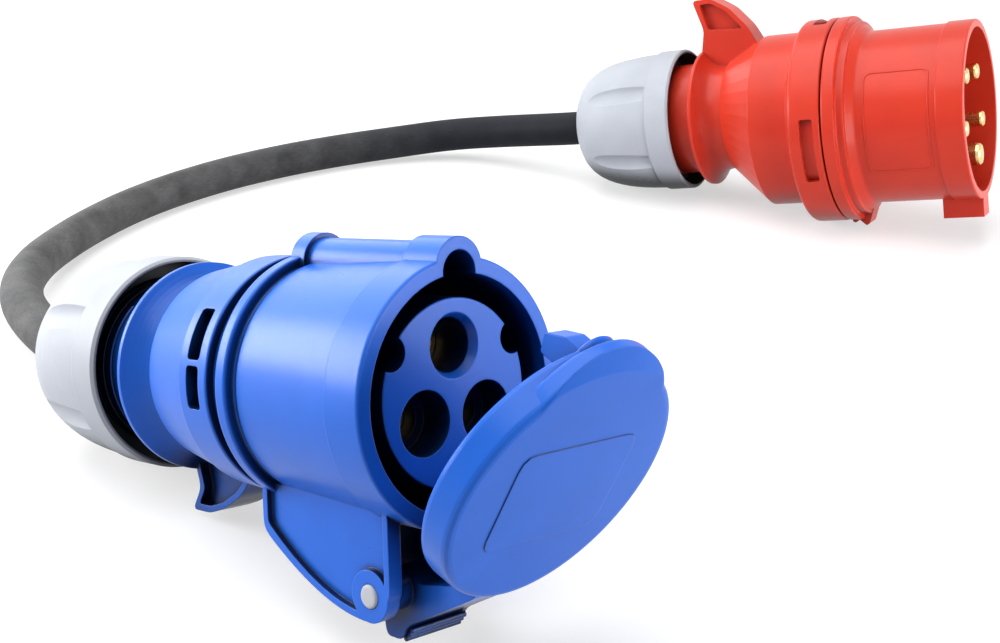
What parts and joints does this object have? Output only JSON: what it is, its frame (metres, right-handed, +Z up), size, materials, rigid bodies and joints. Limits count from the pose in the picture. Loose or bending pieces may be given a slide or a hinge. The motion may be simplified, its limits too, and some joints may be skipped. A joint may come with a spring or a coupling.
{
  "type": "power adapter cable",
  "caption": "Short adapter lead: a shrouded pin plug and a lidded connector socket, each with a rear housing and screwed gland nut, joined by a curved round rubber cable",
  "frame": {"origin": "centre of the underside of the box around the two connectors, cable left out, on the floor they lie on", "axes": "+Z up; +Y along the longest extent, from the socket's end to the plug's end, away from the viewer; +X to the viewer's right"},
  "size_m": [0.3005, 0.3321, 0.0763],
  "materials": {
    "blue_plastic": "satin moulded plastic",
    "red_plastic": "satin moulded plastic",
    "grey_plastic": "satin moulded plastic, pale grey",
    "cable_rubber": "matt rubber sheath",
    "seal_rubber": "matt black rubber",
    "brass": "plain turned brass",
    "pale_plastic": "plain moulded plastic, off-white",
    "steel": "plated steel",
    "brown_insulation": "core insulation",
    "blue_insulation": "core insulation",
    "green_insulation": "core insulation, green and yellow"
  },
  "bodies": {
    "adapter": {"socket_barrel": "blue_plastic", "contact_carrier": "blue_plastic", "socket_line_contact": "brass", "socket_neutral_contact": "brass", "socket_earth_contact": "brass", "socket_terminal_screws": "steel", "hinge_pin": "pale_plastic", "lid_spring": "steel", "socket_rear_housing": "blue_plastic", "socket_body_seal": "seal_rubber", "socket_gland_seal": "seal_rubber", "socket_line_wire": "brown_insulation", "socket_neutral_wire": "blue_insulation", "socket_earth_wire": "green_insulation", "plug_shroud": "red_plastic", "pin_carrier": "red_plastic", "line_one_pin": "brass", "line_two_pin": "brass", "line_three_pin": "brass", "neutral_pin": "brass", "earth_pin": "brass", "plug_terminal_screws": "steel", "plug_rear_housing": "red_plastic", "plug_body_seal": "seal_rubber", "plug_gland_seal": "seal_rubber", "plug_line_wire": "brown_insulation", "plug_neutral_wire": "blue_insulation", "plug_earth_wire": "green_insulation", "cable": "cable_rubber"},
    "lid": {"lid": "blue_plastic", "lid_seal": "seal_rubber"},
    "socket_cage": {"socket_clamp_cage": "grey_plastic"},
    "socket_nut": {"socket_gland_nut": "grey_plastic"},
    "plug_cage": {"plug_clamp_cage": "grey_plastic"},
    "plug_nut": {"plug_gland_nut": "grey_plastic"}
  },
  "joints": [
    {"name": "lid_hinge", "type": "hinge", "parent": "adapter", "child": "lid", "pos_m": [-0.04123, -0.12608, 0.0129], "axis": [0.6987, 0.6867, -0.2006], "range_deg": [-32, 53], "deforming": ["lid_spring"]},
    {"name": "socket_cage_slide", "type": "slide", "parent": "adapter", "child": "socket_cage", "axis": [-0.7149, 0.6597, -0.2317], "range_m": [0, 0.006]},
    {"name": "socket_nut_turn", "type": "hinge", "parent": "socket_cage", "child": "socket_nut", "pos_m": [-0.09621, -0.06558, 0.02851], "axis": [-0.7149, 0.6597, -0.2317], "range_deg": [0, 720]},
    {"name": "plug_cage_slide", "type": "slide", "parent": "adapter", "child": "plug_cage", "axis": [-0.8801, 0.4293, -0.2028], "range_m": [0, 0.006]},
    {"name": "plug_nut_turn", "type": "hinge", "parent": "plug_cage", "child": "plug_nut", "pos_m": [0.03588, 0.12819, 0.02659], "axis": [-0.8801, 0.4293, -0.2028], "range_deg": [0, 720]}
  ],
  "couplings": [
    {"joint": "socket_nut_turn", "follows": "socket_cage_slide", "rad_per_m": 2094.4},
    {"joint": "plug_nut_turn", "follows": "plug_cage_slide", "rad_per_m": 2094.4}
  ]
}
